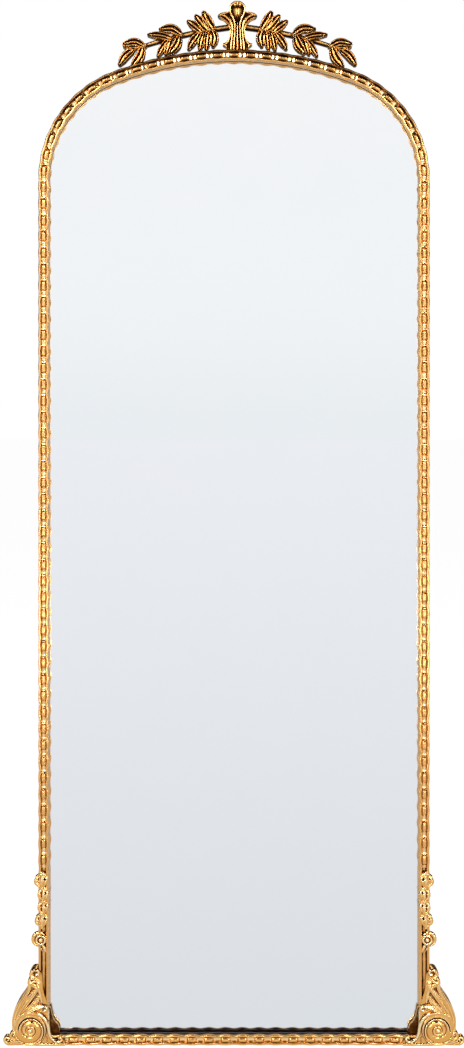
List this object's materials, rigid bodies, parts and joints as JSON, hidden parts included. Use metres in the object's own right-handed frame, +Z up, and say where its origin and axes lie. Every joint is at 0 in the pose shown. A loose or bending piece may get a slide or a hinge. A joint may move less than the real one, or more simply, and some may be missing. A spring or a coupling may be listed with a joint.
{
  "type": "overmantel mirror",
  "caption": "Tall arched wall mirror in a slim gilt beaded moulding, with a palmette and laurel crest and scrolled volute feet.",
  "frame": {"origin": "middle of the bounding box's base: on the floor, halfway through the depth and the width", "axes": "+X to the viewer's right, +Y back towards the wall, +Z up the mirror's height"},
  "size_m": [0.8088, 0.0446, 1.8296],
  "materials": {
    "gilded_moulding": "gold leaf over gesso, patinated",
    "gilded_beading": "cast resin, gold leaf, patinated",
    "gilded_casting": "cast resin, gold leaf, patinated",
    "float_glass": "polished",
    "mirror_silver": "silvered",
    "foam_tape": "closed-cell foam",
    "packing_board": "grey board",
    "fibreboard": "sanded medium-density fibreboard",
    "zinc_plated_steel": "zinc plated",
    "steel_pin": "drawn",
    "beech": "turned",
    "hard_rubber": "moulded",
    "soft_rubber": "moulded",
    "felt": "pressed felt"
  },
  "bodies": {
    "frame": {"arch_beading": "gilded_beading", "arch_moulding": "gilded_moulding", "back_panel": "fibreboard", "back_panel_screws": "zinc_plated_steel", "bottom_rail_beading": "gilded_beading", "bottom_rail_moulding": "gilded_moulding", "corner_keys": "beech", "crest_palmette": "gilded_casting", "crest_pins": "steel_pin", "foot_pads": "felt", "glazing_tape": "foam_tape", "hanger_screws": "zinc_plated_steel", "joint_dowels": "beech", "left_acanthus_leaf": "gilded_casting", "left_hanger_strap": "zinc_plated_steel", "left_husk_drop": "gilded_casting", "left_laurel_branch": "gilded_casting", "left_rosette": "gilded_casting", "left_stile_beading": "gilded_beading", "left_stile_moulding": "gilded_moulding", "left_toe_leaf": "gilded_casting", "left_volute_bracket": "gilded_casting", "mirror_glass": "float_glass", "packing_sheet": "packing_board", "right_acanthus_leaf": "gilded_casting", "right_hanger_strap": "zinc_plated_steel", "right_husk_drop": "gilded_casting", "right_laurel_branch": "gilded_casting", "right_rosette": "gilded_casting", "right_stile_beading": "gilded_beading", "right_stile_moulding": "gilded_moulding", "right_toe_leaf": "gilded_casting", "right_volute_bracket": "gilded_casting", "setting_blocks": "hard_rubber", "silver_coating": "mirror_silver", "wall_bumpers": "soft_rubber"},
    "left_hanger_ring": {"left_hanger_ring": "zinc_plated_steel"},
    "right_hanger_ring": {"right_hanger_ring": "zinc_plated_steel"}
  },
  "joints": [
    {"name": "left_ring_swing", "type": "hinge", "parent": "frame", "child": "left_hanger_ring", "pos_m": [-0.23, 0.01808, 1.38], "axis": [1, 0, 0], "range_deg": [0, 180]},
    {"name": "right_ring_swing", "type": "hinge", "parent": "frame", "child": "right_hanger_ring", "pos_m": [0.23, 0.01808, 1.38], "axis": [1, 0, 0], "range_deg": [0, 180]}
  ]
}
